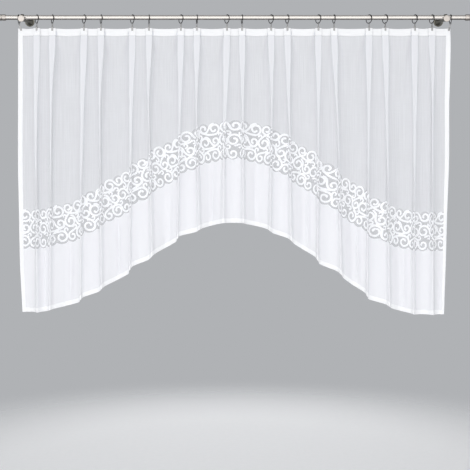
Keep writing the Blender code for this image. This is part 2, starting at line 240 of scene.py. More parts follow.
def soften(line, sigma):
    # a Gaussian average along one level, which keeps the line's ends where they are
    reach = int(4 * sigma) + 1
    kernel = np.exp(-0.5 * (np.arange(-reach, reach + 1) / sigma) ** 2)
    padded = np.concatenate([2 * line[0] - line[reach:0:-1], line,
                             2 * line[-1] - line[-2:-reach - 2:-1]])
    return np.convolve(padded, kernel / kernel.sum(), "valid")


def levelLine(level, middles, sharp):
    # one level of the hung cloth as flat places, x and y
    cap, neck, valley, opened, leftEdge, rightEdge, extra = level
    points = [(0.0, leftEdge / 1000, 0.0)]
    flat = 0.0
    for number, width in enumerate(panels):
        isLast = number == len(cloth["folds"])
        if isLast:
            endX = rightEdge / 1000
        else:
            fold = cloth["folds"][number]
            wideCap = cap + extra * fold[5]
            corners = foldCorners(fold, wideCap / 1000, neck / 1000, opened)
            endX = middles[number] + corners[0][0]
        share = 1.0 if width > cloth["widePanel"] else cloth["narrowValley"]
        if number == 0 or isLast:
            share = cloth["endValley"]
        startX = points[-1][1]
        for step in range(1, cloth["valleySteps"]):
            along = step / cloth["valleySteps"]
            sag = valley / 1000 * share * math.sin(math.pi * along) ** (2 * sharp)
            points.append((flat + width * along, mix(startX, endX, along), -sag))
        flat += width
        if isLast:
            points.append((flat, endX, 0.0))
            break
        runs = [math.dist(a, b) for a, b in zip(corners, corners[1:])]
        gone = 0.0
        for corner, run in zip(corners, [0.0] + runs):
            gone += run
            points.append((flat + foldCloth * gone / sum(runs),
                           middles[number] + corner[0], corner[1]))
        flat += foldCloth
    return np.array(points).T


# creases that the pull of the clips leaves beside the pleats, one row each: the panel, its side
# (0 left, 1 right), depth (mm), how far it slants out (mm), about how far down it lasts (m)
creases = [
    (0, 0, 6.6, 24, 0.40), (0, 1, 7.7, 18, 0.30), (1, 1, 6.6, 16.8, 0.24), (2, 0, 15.4, 36, 0.46),
    (2, 1, 12.1, 32.4, 0.36), (3, 0, 6.6, 15.6, 0.26), (3, 1, 4.84, 14.4, 0.20),
    (4, 0, 16.5, 38.4, 0.50), (4, 1, 14.3, 36, 0.40), (5, 1, 6.6, 18, 0.24),
    (6, 0, 15.4, 37.2, 0.46), (6, 1, 13.2, 33.6, 0.42), (7, 0, 7.04, 18, 0.28),
    (7, 1, 5.72, 14.4, 0.20), (8, 0, 13.2, 34.8, 0.42), (8, 1, 10.12, 26.4, 0.34),
    (9, 0, 5.28, 14.4, 0.22), (10, 0, 14.3, 36, 0.44), (10, 1, 11.44, 28.8, 0.38),
    (11, 0, 6.6, 16.8, 0.26), (11, 1, 4.4, 14.4, 0.20), (12, 0, 15.4, 37.2, 0.48),
    (12, 1, 12.76, 32.4, 0.40), (13, 1, 7.04, 16.8, 0.26), (14, 0, 14.08, 36, 0.44),
    (14, 1, 13.2, 34.8, 0.40), (15, 0, 6.6, 15.6, 0.24), (16, 0, 12.32, 32.4, 0.42),
    (16, 1, 10.56, 28.8, 0.36), (17, 0, 6.6, 16.8, 0.28), (18, 0, 7.48, 21.6, 0.36),
    (18, 1, 5.72, 19.2, 0.40),
]
crease = {
    "below": 0.026, "slant": 0.115,      # the drop that they slant from, and over what drop (m)
    "steep": 0.013, "rim": 0.003,        # widths of the side by the pleat and, at least, the other
    "deepens": 0.09, "from": 0.15, "ending": 0.10,      # drops where they deepen and run out (m)
    "fadeCurve": 1.2, "sideCurve": 1.15,
}


def creaseDepth(flat, drop):
    # each crease is a soft trough that starts at its pleat's edge and slants away from it
    depth = np.zeros_like(drop)
    steep = crease["steep"]
    down = np.clip((drop - crease["below"]) / crease["slant"], 0, 1)
    begins = np.clip(drop / crease["deepens"], 0, 1)
    for panel, side, deep, out, lasts in creases:
        away = (flat - panelStarts[panel] - panels[panel] * side) * (1 - 2 * side)
        edge = steep + crease["rim"] + out / 1000 * down
        ends = np.clip(1 - (drop - crease["from"]) / (lasts - crease["ending"]), 0, 1)
        slope = np.clip(np.minimum(away / steep, (edge - away) / (edge - steep)), 0, 1)
        depth += (deep / 1000 * (begins * ends) ** crease["fadeCurve"]
                  * slope ** crease["sideCurve"])
    return depth


# soft troughs in the wide panels of the dense field, one row each: the panel, how far across it
# (0 to 1), width (mm), depth (mm)
troughs = [
    (2, 0.58, 30, 10.0), (4, 0.53, 26, 12.0), (6, 0.66, 30, 6.0), (8, 0.62, 26, 8.0),
    (10, 0.40, 30, 5.0), (12, 0.66, 27, 12.0), (14, 0.66, 26, 12.0), (16, 0.70, 26, 9.0),
]
# heights above the hem, in metres, between which they begin and run out
trough = {"top": 0.275, "full": 0.205, "low": 0.060, "foot": 0.015}


def troughDepth(flat, drop):
    depth = np.zeros_like(drop)
    above = hemDrop(flat) - drop
    fade = (np.clip((trough["top"] - above) / (trough["top"] - trough["full"]), 0, 1)
            * np.clip((above - trough["foot"]) / (trough["low"] - trough["foot"]), 0, 1))
    for panel, share, width, deep in troughs:
        away = (flat - panelStarts[panel] - panels[panel] * share) / (width / 1000)
        depth += deep / 1000 * fade * np.cos(np.pi * np.clip(away, -0.5, 0.5)) ** 2
    return depth


def sway(flat, drop, seed):
    # slow unevenness, so that no two folds hang quite alike; the bare numbers only set the waves
    # off against each other
    total = np.zeros_like(drop)
    turn = 1.3 * np.sin(2 * math.pi * flat / cloth["swayTurn"] + seed)
    for number, (across, down, share) in enumerate(cloth["swayWaves"]):
        total += share * (np.sin(2 * math.pi * flat / across + seed * 1.7 + number)
                          * np.sin(2 * math.pi * drop / down + seed * 2.3 + 2.1 * number + turn))
    return total / sum(share for _, _, share in cloth["swayWaves"])


def headerSag(flat, drop):
    # the top edge hangs a little lower between two clips than at them
    sag = np.zeros_like(drop)
    for start, width in zip(panelStarts, panels):
        along = np.clip((flat - start) / width, 0, 1)
        sag += cloth["headerSag"] * min(width / cloth["sagPanel"], 1.0) * np.sin(np.pi * along) ** 2
    return sag * np.clip(1 - drop / cloth["sagDrop"], 0, 1)


def makeTable():
    # the hung cloth as a table: one row per level, one column per half millimetre of flat cloth
    places = np.linspace(0, 2, cloth["tableRows"])
    flat = np.linspace(0, flatWidth, int(round(flatWidth / cloth["tableStep"])) + 1)
    values = np.array([soften(np.interp(places, levelPlaces, column), 3)
                       for column in levels[:, 2:].T]).T
    folds = np.array([fold[:3] for fold in cloth["folds"]]) / 1000
    middles = []
    for drop, share in levels[:, :2]:
        down = min(drop / cloth["middleDrop"], 1.0)
        middles.append(mix(folds[:, 1], folds[:, 2], share) if share > 0
                       else mix(folds[:, 0], folds[:, 1], down))
    middles = np.array([soften(np.interp(places, levelPlaces, column), 4)
                        for column in np.array(middles).T]).T
    softness = np.interp(places, levelPlaces, cloth["softness"]) / 1000 / cloth["tableStep"]
    sharpness = np.interp(places, levelPlaces, cloth["sharpness"])
    x, depth = [], []
    for level, middle, sigma, sharp in zip(values, middles, softness, sharpness):
        lineFlat, lineX, lineDepth = levelLine(level, middle, sharp)
        x.append(soften(np.interp(flat, lineFlat, lineX), sigma))
        depth.append(soften(np.interp(flat, lineFlat, lineDepth), sigma))
    flatGrid = np.broadcast_to(flat, (len(places), len(flat)))
    rest = np.clip(places - 1, 0, 1)[:, None]
    drop = (np.minimum(places, 1)[:, None] * restDrop
            + rest * (hemDrop(flatGrid) - restDrop))
    loose = np.clip(drop / cloth["swayFrom"], 0, 1) ** 1.5
    x = np.array(x) + cloth["swaySide"] * loose * sway(flatGrid, drop, 1)
    y = cloth["y"] - np.array(depth) + creaseDepth(flatGrid, drop) + troughDepth(flatGrid, drop)
    y += cloth["swayOut"] * loose * sway(flatGrid, drop, 2)
    return np.stack([x, y, cloth["top"] - drop - headerSag(flatGrid, drop)], axis=2)


table = makeTable()
across = np.gradient(table, axis=1)
down = np.gradient(table, axis=0)
normals = np.cross(down, across)
normals /= np.maximum(np.linalg.norm(normals, axis=2, keepdims=True), 1e-12)


def onCloth(flat, drop, out=0.0):
    # points on the hung cloth, from places on the flat one; out is off its room side
    flat, drop = np.asarray(flat, float), np.asarray(drop, float)
    rows, columns = table.shape[:2]
    row = np.clip(tablePlace(flat, drop) / 2 * (rows - 1), 0, rows - 1.001)
    column = np.clip(flat / flatWidth * (columns - 1), 0, columns - 1.001)
    r, c = row.astype(int), column.astype(int)
    u, v = (column - c)[:, None], (row - r)[:, None]

    def read(grid):
        return ((grid[r, c] * (1 - u) + grid[r, c + 1] * u) * (1 - v)
                + (grid[r + 1, c] * (1 - u) + grid[r + 1, c + 1] * u) * v)
    return read(table) + read(normals) * np.broadcast_to(out, flat.shape)[:, None]


print("cloth table", table.shape, "flat width", round(flatWidth, 4))


# the scroll band: a running border of volutes, charted as one repeat in millimetres
band = {
    # how high its middle is above the hem, and its reach up and down from there (m)
    "middle": 0.351, "above": 0.098, "below": 0.092,
    "repeat": 270.0, "stroke": 8.8, "budStroke": 7.4, "core": 42.0,
    "topMargin": 3.2, "lowMargin": 7.2, "proud": 0.00038,
    "pointsPerTurn": 22, "inner": 0.80, "closing": 1.45, "bow": 0.06,
    # how a stroke's width changes from its eye on, and at its tail
    "eyeWidths": (0.55, 0.95, 1.12, 1.15, 1.08), "tailWidths": (0.95, 0.85, 0.55),
    # name: along, up, radius, turns, hand, the volute its tail joins, in which repeat, on which
    # side, and how far round that one it runs
    "volutes": {
        "mid1": (-1, -2, 24.5, 1.25, -1, "mid2", 0, 1, 0.18),
        "top1": (3, 59, 18.5, 1.08, -1, "top6", -1, 1, 0.18),
        "low1": (-5, -59, 18.5, 1.08, -1, "low6", -1, 1, 0.18),
        "mid2": (45, -1, 19.0, 1.2, -1, "top2", 0, 1, 0.18),
        "top2": (44, 54, 23.5, 1.25, 1, "top1", 0, -1, 0.18),
        "low2": (43, -54, 23.5, 1.25, 1, "mid2", 0, -1, 0.18),
        "mid3": (87, 0, 24.5, 1.25, 1, "mid4", 0, 1, 0.18),
        "top3": (89, 59, 18.5, 1.08, 1, "top4", 0, -1, 0.18),
        "low3": (86, -59, 18.5, 1.08, 1, "low2", 0, -1, 0.18),
        "mid4": (135, 2, 19.0, 1.2, -1, "mid3", 0, 1, 0.18),
        "top4": (135, 54, 23.5, 1.25, -1, "top3", 0, -1, 0.18),
        "low4": (131, -54, 23.5, 1.25, 1, "low3", 0, 1, 0.18),
        "mid5": (181, 3, 24.5, 1.25, -1, "top5", 0, 1, 0.18),
        "top5": (182, 59, 18.5, 1.08, 1, "top6", 0, 1, 0.18),
        "low5": (177, -59, 18.5, 1.08, -1, "low6", 0, -1, 0.18),
        "mid6": (228, -3, 19.0, 1.2, -1, "mid5", 0, 1, 0.18),
        "top6": (229, 54, 23.5, 1.25, -1, "top1", 1, 1, 0.18),
        "low6": (222, -54, 23.5, 1.25, -1, "mid6", 0, 1, 0.18),
        # small buds that fill the gaps between them
        "bud1": (21.5, 27, 8.5, 0.70, 1, "top2", 0, -1, 0.06),
        "bud2": (66, 27.5, 9.5, 0.75, -1, "mid3", 0, 1, 0.06),
        "bud3": (158, 28, 8.5, 0.70, -1, "mid5", 0, 1, 0.06),
        "bud4": (217, 22, 8.5, 0.70, -1, "mid6", 0, 1, 0.05),
        "bud5": (251, 27, 8.5, 0.70, 1, "top6", 0, -1, 0.06),
        "bud6": (20.5, -29, 9.0, 0.72, 1, "mid1", 0, -1, 0.06),
        "bud7": (66, -28, 8.5, 0.72, -1, "low2", 0, 1, 0.06),
        "bud8": (156, -29, 9.5, 0.75, 1, "low4", 0, -1, 0.06),
        "bud9": (198, -25, 8.0, 0.70, 1, "mid5", 0, -1, 0.05),
        "bud10": (248, -29, 9.5, 0.75, -1, "low6", 0, 1, 0.06),
    },
}

centreFlat = np.linspace(0, flatWidth, 3001)
centreDrop = hemDrop(centreFlat) - band["middle"]
centreSlope = np.gradient(centreDrop, centreFlat)
centreRun = np.concatenate([[0], np.cumsum(np.hypot(np.diff(centreFlat), np.diff(centreDrop)))])
centreRun -= centreRun[-1] / 2


def centreAt(flat):
    # the band's middle line: its drop, its slope and its length for each metre across
    slope = np.interp(flat, centreFlat, centreSlope)
    return np.interp(flat, centreFlat, centreDrop), slope, np.sqrt(1 + slope ** 2)


def fromBand(along, up):
    # places on the flat cloth, from metres along the band's curved middle line and up from it
    flat = np.interp(along, centreRun, centreFlat)
    flat += np.clip(along - centreRun[-1], 0, None) + np.clip(along - centreRun[0], None, 0)
    drop, slope, steep = centreAt(flat)
    return flat + up * slope / steep, drop - up / steep


def toBand(flat, drop):
    # the way back, by a few steps of closing in
    foot = flat.copy()
    for _ in range(6):
        middle, slope, steep = centreAt(foot)
        foot = foot + (flat - foot - (middle - drop) * slope) / steep ** 2
    middle, slope, steep = centreAt(foot)
    return (np.interp(foot, centreFlat, centreRun),
            (flat - foot) * slope / steep + (middle - drop) / steep)


def onCircle(centre, reach, angles):
    return centre + np.stack([reach * np.cos(angles), reach * np.sin(angles)], 1)


def scrollLine(name):
    # from the eye of a volute outwards, along its tail, and round the side of the next volute
    x, y, radius, turns, hand, other, repeats, side, ride = band["volutes"][name]
    nextX, nextY, nextRadius = band["volutes"][other][:3]
    start, end = np.array([x, y]), np.array([nextX + repeats * band["repeat"], nextY])
    apart = end - start
    lean = (side * nextRadius - hand * radius) / np.hypot(*apart)
    heading = math.atan2(apart[1], apart[0]) - math.asin(max(-0.98, min(0.98, lean)))
    normal = np.array([-math.sin(heading), math.cos(heading)])
    leave, arrive = start - hand * radius * normal, end - side * nextRadius * normal
    steps = int(band["pointsPerTurn"] * turns)
    shares = np.arange(steps + 1) / steps
    angles = math.atan2(*(leave - start)[::-1]) - hand * shares * turns * 2 * np.pi
    reach = radius * (1 - band["inner"] * shares ** band["closing"])
    shares = np.arange(1, 7)[:, None] / 7
    bow = -band["bow"] * hand * np.hypot(*(arrive - leave)) * np.sin(np.pi * shares)
    rides = math.atan2(*(arrive - end)[::-1]) + side * np.arange(7) / 6 * ride * 2 * np.pi
    return np.concatenate([onCircle(start, reach, angles)[::-1],
                           leave + (arrive - leave) * shares + bow * normal,
                           onCircle(end, nextRadius, rides)])


def openDistance(along, up):
    # metres to the edge of the open ground, less than nothing inside it
    repeat = band["repeat"] / 1000
    edge = np.abs(up) - band["core"] / 1000
    for x, y, radius, *_ in band["volutes"].values():
        away = (along - x / 1000 + repeat / 2) % repeat - repeat / 2
        margin = band["topMargin"] if y > 0 else band["lowMargin"]
        edge = np.minimum(edge, np.hypot(away, up - y / 1000) - (radius + margin) / 1000)
    return edge


# the curtain's own cloth, with its turned heading, side hems and bottom hem, in metres
turned = {
    "side": 0.0195, "heading": 0.030, "hem": 0.0195, "edge": 0.0012,
    # the upper seam of the heading, and how the seams draw the cloth in
    "seamDrop": 0.0145, "seamHalf": 0.0007, "drawnIn": 0.00025,
    "close": 0.001,      # how close rows stand to a seam, and where the plain part begins and ends
    "plain": 0.038, "foot": 0.024,
}
turned["cutWidth"] = flatWidth + 2 * turned["side"]
turned["cutLength"] = max(cloth["sideDrop"]) + turned["heading"] + turned["hem"]


def clothColumns():
    # places across the flat cloth, and 1 where the cloth is turned behind
    side, edge = turned["side"], turned["edge"]
    columns = [(side, 1), (side / 2, 1), (edge, 1), (0.0, 0.5), (edge, 0), (side / 2, 0),
               (side - edge, 0), (side, 0), (side + edge, 0)]
    inner = []
    for start, width in zip(panelStarts, panels):
        steps = 20 if width > cloth["widePanel"] else 10
        inner += [start + width * k / steps for k in range(steps)]
        inner += [start + width + foldCloth * k / 30 for k in range(30)]
    low, high = side + 0.003, flatWidth - side - 0.003
    mirrored = [(flatWidth - place, back) for place, back in reversed(columns)]
    return columns + [(place, 0) for place in inner if low < place < high] + mirrored


def clothRows(flat):
    # rows of drops for these places, each with 1 where it is turned behind
    hem, edge, close = hemDrop(flat), turned["edge"], turned["close"]
    heading, seam, turn = turned["heading"], turned["seamDrop"], turned["hem"]
    top, low = band["middle"] + band["above"], band["middle"] - band["below"]
    plain, foot = turned["plain"], turned["foot"]
    rows = [(drop + 0 * hem, 1) for drop in (heading, heading / 2, edge)] + [(0 * hem, 0.5)]
    rows += [(drop + 0 * hem, 0) for drop in (edge, 0.006, seam - close, seam, seam + close, 0.022,
                                              heading - close, heading, heading + close, plain)]
    rows += [(mix(plain, hem - top, (k / 28) ** 1.15), 0) for k in range(1, 29)]
    rows += [(hem - mix(top, low, k / 35), 0) for k in range(1, 36)]
    rows += [(hem - mix(low, foot, k / 18), 0) for k in range(1, 19)]
    rows += [(hem - up, 0) for up in (turn + close, turn, turn - close, turn / 2, edge)]
    return rows + [(hem, 0.5)] + [(hem - up, 1) for up in (edge, turn / 2, turn)]


def pleatCover(flat, drop):
    # 1 on the front face of a fold that still lies closed, where three layers lie on each other.
    # The voile is made more opaque and so brighter there: painted light for what the layers behind
    # would scatter forward
    cap, opened, extra = [np.interp(tablePlace(flat, drop), levelPlaces, levels[:, column])
                          for column in (2, 5, 8)]
    cover = np.zeros_like(flat)
    for start, width, fold in zip(panelStarts, panels, cloth["folds"]):
        half = (cap + extra * fold[5]) / 2000 + 0.0016
        away = np.abs(flat - start - width - foldCloth / 2)
        cover = np.maximum(cover, np.clip((half - away) / 0.002, 0, 1))
    return cover * np.clip((1 - opened) * 1.2, 0, 1)


def makeCloth():
    columns = clothColumns()
    flat, behind = np.array(columns).T
    rows = clothRows(flat)
    bm = bmesh.new()
    bmesh.ops.create_grid(bm, x_segments=len(columns) - 1, y_segments=len(rows) - 1, size=1)
    mesh = toMesh("curtainCloth", bm)
    allFlat = np.tile(flat, len(rows))
    allDrop = np.concatenate([drop for drop, _ in rows])
    layers = np.tile(behind, len(rows)) + np.repeat([back for _, back in rows], len(columns))
    # stitching draws the hems in a little along their seams
    hem = hemDrop(allFlat)
    seams = [allDrop - turned["heading"], allDrop - turned["seamDrop"],
             hem - allDrop - turned["hem"], allFlat - turned["side"],
             flatWidth - allFlat - turned["side"]]
    drawn = sum(np.exp(-(seam / turned["seamHalf"]) ** 2) for seam in seams)
    drawn = turned["drawnIn"] * np.where(layers > 0, 0, np.minimum(drawn, 1))
    setPoints(mesh, onCloth(allFlat, allDrop, -layers * cloth["layerGap"] - drawn))

    along, up = toBand(allFlat, allDrop)
    fields = {
        "openEdge": openDistance(along, up), "bandUp": up, "hemHeight": hem - allDrop,
        "topDrop": allDrop, "sideIn": np.minimum(allFlat, flatWidth - allFlat),
        "pleat": pleatCover(allFlat, allDrop),
    }
    for name, values in fields.items():
        mesh.attributes.new(name, "FLOAT", "POINT").data.foreach_set(
            "value", values.astype(np.float32))
    # a flat layout of the whole cut, turned edges and all, in one map
    wide = np.concatenate([[0], np.cumsum(np.abs(np.diff(flat)))]) / turned["cutWidth"]
    mid = len(flat) // 2
    tall = np.concatenate([[0], np.cumsum([abs(low[mid] - high[mid])
                                           for (high, _), (low, _) in zip(rows, rows[1:])])])
    longest = (hem + turned["heading"] + turned["hem"]) / turned["cutLength"]
    layout = np.stack([np.tile(wide, len(rows)),
                       1 - np.repeat(tall / tall[-1], len(columns)) * longest], 1)
    corners = np.zeros(len(mesh.loops), np.int32)
    mesh.loops.foreach_get("vertex_index", corners)
    mesh.uv_layers.new(name="OFBake").data.foreach_set(
        "uv", layout[corners].astype(np.float32).ravel())
    mesh.update()
    print("cloth", len(columns), "by", len(rows))
    return mesh


# warp-knitted polyester voile with a jacquard border: one white yarn throughout, so only how
# closely it is knitted changes what the eye sees, from open net to a nearly solid field
voileLook = {
    "yarn": "#F6F6F9", "dense": "#F2F2F5", "shade": "#ECEDF1", "hemColor": "#FDFDFE",
    "voile": 0.62, "open": 0.33, "denseShare": 0.93, "hem": 0.985, "side": 0.96, "heading": 0.94,
    "pleat": 0.74,        # three layers of voile; set above their own cover as painted light, for what passes through the layers behind
    "loose": 0.24, "cloudy": 0.06, "net": 0.20,
    "thinnerUnderHeading": 0.055,   # the voile covers this much less, and so shows darker, in a strip just under the heading
    "threadMm": 3.2,      # real yarns stand about 0.5 mm apart, too fine to show, so drawn coarser
    "slubMm": 140.0, "netMm": 3.6,
}


def makeVoile():
    look = voileLook
    made, tree, shader = newMaterial("warp-knitted polyester voile, jacquard border",
                                     Roughness=0.78, Sheen_Weight=0.25, Sheen_Roughness=0.45,
                                     Specular_IOR_Level=0.25)

    def zone(attribute, edge, soft):
        # 1 where the cloth's own attribute is below the edge, 0 where it is above
        place = addNode(tree, "Attribute", attribute_name=attribute).outputs["Fac"]
        return addNode(tree, "MapRange", {"Value": place, "From Min": edge - soft,
                                          "From Max": edge + soft, "To Min": 1.0, "To Max": 0.0},
                       interpolation_type="SMOOTHSTEP")

    parts = {
        "opened": zone("openEdge", 0.0, 0.0006), "lower": zone("bandUp", 0.0, 0.0006),
        "hem": zone("hemHeight", turned["hem"], 0.0005),
        "side": zone("sideIn", turned["side"], 0.0005),
        "heading": zone("topDrop", turned["heading"], 0.0006),
        "under": zone("topDrop", turned["heading"] + 0.005, 0.001),
        "pleat": addNode(tree, "Attribute", attribute_name="pleat").outputs["Fac"],
    }
    layout = addNode(tree, "UVMap", uv_map="OFBake")
    size = (turned["cutWidth"], turned["cutLength"], 0.0)
    metres = addNode(tree, "VectorMath", {0: layout, 1: size}, operation="MULTIPLY")
    thread, slub = 1000 / look["threadMm"], 1000 / look["slubMm"]
    for name, stretch, detail, rough in (("slub", (thread, slub, 1.0), 3.0, 0.6),
                                         ("filling", (slub / 0.6, thread, 1.0), 2.0, 0.5)):
        along = addNode(tree, "VectorMath", {0: metres, 1: stretch}, operation="MULTIPLY")
        parts[name] = addNode(tree, "TexNoise", {"Vector": along, "Scale": 1.0, "Detail": detail,
                                                 "Roughness": rough})
    parts["clouds"] = addNode(tree, "TexNoise", {"Vector": metres, "Scale": 9.0, "Detail": 2.0})
    holes = addNode(tree, "TexVoronoi", {"Vector": metres, "Scale": 1000 / look["netMm"]},
                    feature="DISTANCE_TO_EDGE", voronoi_dimensions="2D")
    parts["net"] = addNode(tree, "MapRange", {"Value": holes, "From Min": 0.04, "From Max": 0.20,
                                              "To Min": 1.0, "To Max": 0.0},
                           interpolation_type="SMOOTHSTEP")

    # the sums that give each zone its cover, one row a sum: name, operation and inputs
    sums = [
        ("filled", "MULTIPLY", "filling", 0.15), ("yarns", "MULTIPLY_ADD", "slub", 0.85, "filled"),
        ("loose", "MULTIPLY_ADD", "yarns", look["loose"], -look["loose"] / 2),
        ("closed", "SUBTRACT", 1.0, "opened"), ("dense", "MULTIPLY", "lower", "closed"),
        ("even", "ADD", "loose", look["voile"] - look["cloudy"] / 2),
        ("uneven", "MULTIPLY_ADD", "clouds", look["cloudy"], "even"),
        # a strip 5 mm deep just under the heading covers a little less and so shows darker
        ("underHeading", "SUBTRACT", "under", "heading"),
        ("plain", "MULTIPLY_ADD", "underHeading", -look["thinnerUnderHeading"], "uneven"),
        # a closed fold's front face covers more, which paints in the light its layers behind would
        # scatter forward
        ("layers", "MULTIPLY", "pleat", look["pleat"]), ("folded", "MAXIMUM", "plain", "layers"),
        ("field", "MULTIPLY_ADD", "loose", 0.10, look["denseShare"]),
        ("ground", "MULTIPLY_ADD", "net", look["net"], look["open"] - 0.08),
        ("edges", "MAXIMUM", "side", "heading"), ("hems", "MAXIMUM", "hem", "edges"),
        ("bluish", "MULTIPLY", "slub", 0.5), ("rough", "MULTIPLY_ADD", "yarns", 0.20, 0.62),
    ]
    for name, operation, *inputs in sums:
        values = {number: parts.get(value, value) for number, value in enumerate(inputs)}
        parts[name] = addNode(tree, "Math", values, operation=operation)

    # how much of the view each zone covers
    cover = parts["folded"]
    for share, other in (("dense", "field"), ("opened", "ground")):
        cover = addNode(tree, "MapRange", {"Value": parts[share], "To Min": cover,
                                           "To Max": parts[other]})
    for name in ("hem", "side", "heading"):
        doubled = addNode(tree, "Math", {0: parts[name], 1: look[name]}, operation="MULTIPLY")
        cover = addNode(tree, "Math", {0: cover, 1: doubled}, operation="MAXIMUM")
    # colour hardly changes: a bluish shade in loose knitting, pure white where it is dense
    color = hexColor(look["yarn"])
    for share, tone in (("bluish", "shade"), ("dense", "dense"), ("hems", "hemColor")):
        color = addNode(tree, "Mix", {"Factor": parts[share], "A": color,
                                      "B": hexColor(look[tone])}, data_type="RGBA")
    bump = addNode(tree, "Bump", {"Strength": 0.35, "Distance": 0.0006, "Height": parts["yarns"]})
    setInputs(tree, shader, {"Alpha": cover, "Base Color": color, "Roughness": parts["rough"],
                             "Normal": bump})
    return made


curtain = addPiece("curtainVoile", makeCloth(), makeVoile(), ["curtain"], angle=0)
print("curtain made")


def cordMesh(name, lines, widths):
    # strokes drawn on the flat cloth as round cords
    data = bpy.data.curves.new(name, "CURVE")
    data.dimensions, data.twist_mode = "3D", "Z_UP"
    data.bevel_depth, data.bevel_resolution, data.use_fill_caps = 1.0, 0, True
    for line, width in zip(lines, widths):
        spline = data.splines.new("POLY")
        spline.points.add(len(line) - 1)
        spline.points.foreach_set("co", np.column_stack(
            [line, np.zeros(len(line)), np.ones(len(line))]).astype(np.float32).ravel())
        spline.points.foreach_set("radius", width.astype(np.float32))
    thing = bpy.data.objects.new(name, data)
    bpy.context.scene.collection.objects.link(thing)
    mesh = bpy.data.meshes.new_from_object(thing)
    bpy.data.objects.remove(thing)
    bpy.data.curves.remove(data)
    return mesh


def vertexArray(mesh):
    values = np.zeros(len(mesh.vertices) * 3, np.float32)
    mesh.vertices.foreach_get("co", values)
    return values.reshape(-1, 3).astype(float)


def makeScrolls():
    chart = {name: scrollLine(name) for name in band["volutes"]}
    most = int(centreRun[-1] * 1000 / band["repeat"]) + 2
    lines, widths = [], []
    for number in range(-most, most + 1):
        for name, line in chart.items():
            line = line + (number * band["repeat"], 0)
            flat, _ = fromBand(line[:, 0] / 1000, line[:, 1] / 1000)
            line = line[(flat > 0.004) & (flat < flatWidth - 0.004)]
            if len(line) < 6:
                continue
            stroke = band["budStroke"] if name.startswith("bud") else band["stroke"]
            width = np.full(len(line), stroke / 2)
            width[:5] *= band["eyeWidths"]
            width[5:16] *= np.linspace(1.0, 0.92, 11)[:len(width[5:16])]
            width[-3:] *= band["tailWidths"]
            lines.append(line)
            widths.append(width)
    mesh = cordMesh("scrollWork", lines, widths)
    points = vertexArray(mesh)
    flat, drop = fromBand(points[:, 0] / 1000, points[:, 1] / 1000)
    # the cords are pressed to low ridges on the folds
    setPoints(mesh, onCloth(flat, drop, points[:, 2] * (band["proud"] / (band["stroke"] / 2))))
    print("scrolls", len(lines), "strokes", len(mesh.polygons), "faces")
    return mesh


# the same yarn knitted solid, with the floating threads of a satin figure: whiter, and a little
# glossier along the strokes than the ground. Its floats show as 1.9 by 10 mm, coarser than real
figureLook = {"light": "#FDFDFE", "shade": "#F3F4F7", "perMetre": (540.0, 540.0, 96.0)}


def makeFigure():
    made, tree, shader = newMaterial("jacquard satin figure in polyester yarn",
                                     Roughness=0.6, Sheen_Weight=0.3, Sheen_Roughness=0.4,
                                     Specular_IOR_Level=0.3)
    place = addNode(tree, "TexCoord").outputs["Object"]
    grain = addNode(tree, "VectorMath", {0: place, 1: figureLook["perMetre"]}, operation="MULTIPLY")
    yarn = addNode(tree, "TexNoise", {"Vector": grain, "Scale": 1.0, "Detail": 3.0})
    colorAndBump(tree, shader, yarn, figureLook["light"], figureLook["shade"], 0.3, 0.0004)
    return made


figure = makeFigure()
scrolls = addPiece("scrollBorder", makeScrolls(), figure, angle=35)


# nickel plated metals, one row each: what it is, light and dark tone, roughness, the width of its
# grain (mm) and how many times longer that is along x and z. Brushing leaves long fine lines
# along the tube, and the others keep a short soft grain
metals = {
    "tube": ("steel tube, satin nickel plated and brushed", "#E6E0DA", "#D2CCC5", 0.18, 1.6, 14, 1),
    "turned": ("turned brass, satin nickel plated", "#D2CBC4", "#BEB6AE", 0.26, 1.2, 1, 4),
    # the cast bracket keeps the same plating as the other parts, but far darker tones: painted
    # shade
    "cast": ("cast zinc, satin nickel plated, darkened by painted shade", "#8F8C82", "#706D64", 0.34, 1.2, 1, 4),
    "wire": ("steel wire, black nickel plated", "#2E2A27", "#201D1B", 0.22, 1.0, 1, 4),
    "pressed": ("pressed spring steel, bright nickel plated", "#B4B3B2", "#858483", 0.24, 0.9,
                1, 4),
}


def makeMetal(name, light, dark, roughness, grainMm, longX, longZ):
    made, tree, shader = newMaterial(name, Metallic=1.0)
    place = addNode(tree, "TexCoord").outputs["Object"]
    fine = 1000 / grainMm
    grain = addNode(tree, "VectorMath", {0: place, 1: (fine / longX, fine, fine / longZ)},
                    operation="MULTIPLY")
    lines = addNode(tree, "TexNoise", {"Vector": grain, "Scale": 1.0, "Detail": 4.0,
                                       "Roughness": 0.65})
    smudge = addNode(tree, "TexNoise", {"Vector": place, "Scale": 22.0, "Detail": 2.0})
    worn = roughness - 0.05
    for pattern, share in ((lines, 0.10), (smudge, 0.08)):
        worn = addNode(tree, "Math", {0: pattern, 1: share, 2: worn}, operation="MULTIPLY_ADD")
    setInputs(tree, shader, {"Roughness": worn})
    colorAndBump(tree, shader, lines, dark, light, 0.05, 0.0001)
    return made


steel = {name: makeMetal(*row) for name, row in metals.items()}


def turnedMesh(name, profile, steps, place):
    # a closed turned shape about Z, from points of radius and height, then put in its place
    bm = bmesh.new()
    verts = [bm.verts.new((radius, 0, height)) for radius, height in profile]
    edges = [bm.edges.new(pair) for pair in zip(verts, verts[1:])]
    bmesh.ops.spin(bm, geom=verts + edges, cent=(0, 0, 0), axis=(0, 0, 1), angle=2 * math.pi,
                   steps=steps, use_merge=True)
    bmesh.ops.remove_doubles(bm, verts=bm.verts, dist=0.000005)
    bmesh.ops.recalc_face_normals(bm, faces=bm.faces)
    bmesh.ops.transform(bm, matrix=place, verts=bm.verts)
    return toMesh(name, bm)


def facing(direction, at):
    turn = Vector(direction).to_track_quat("Z", "Y").to_matrix().to_4x4()
    return Matrix.Translation(at) @ turn


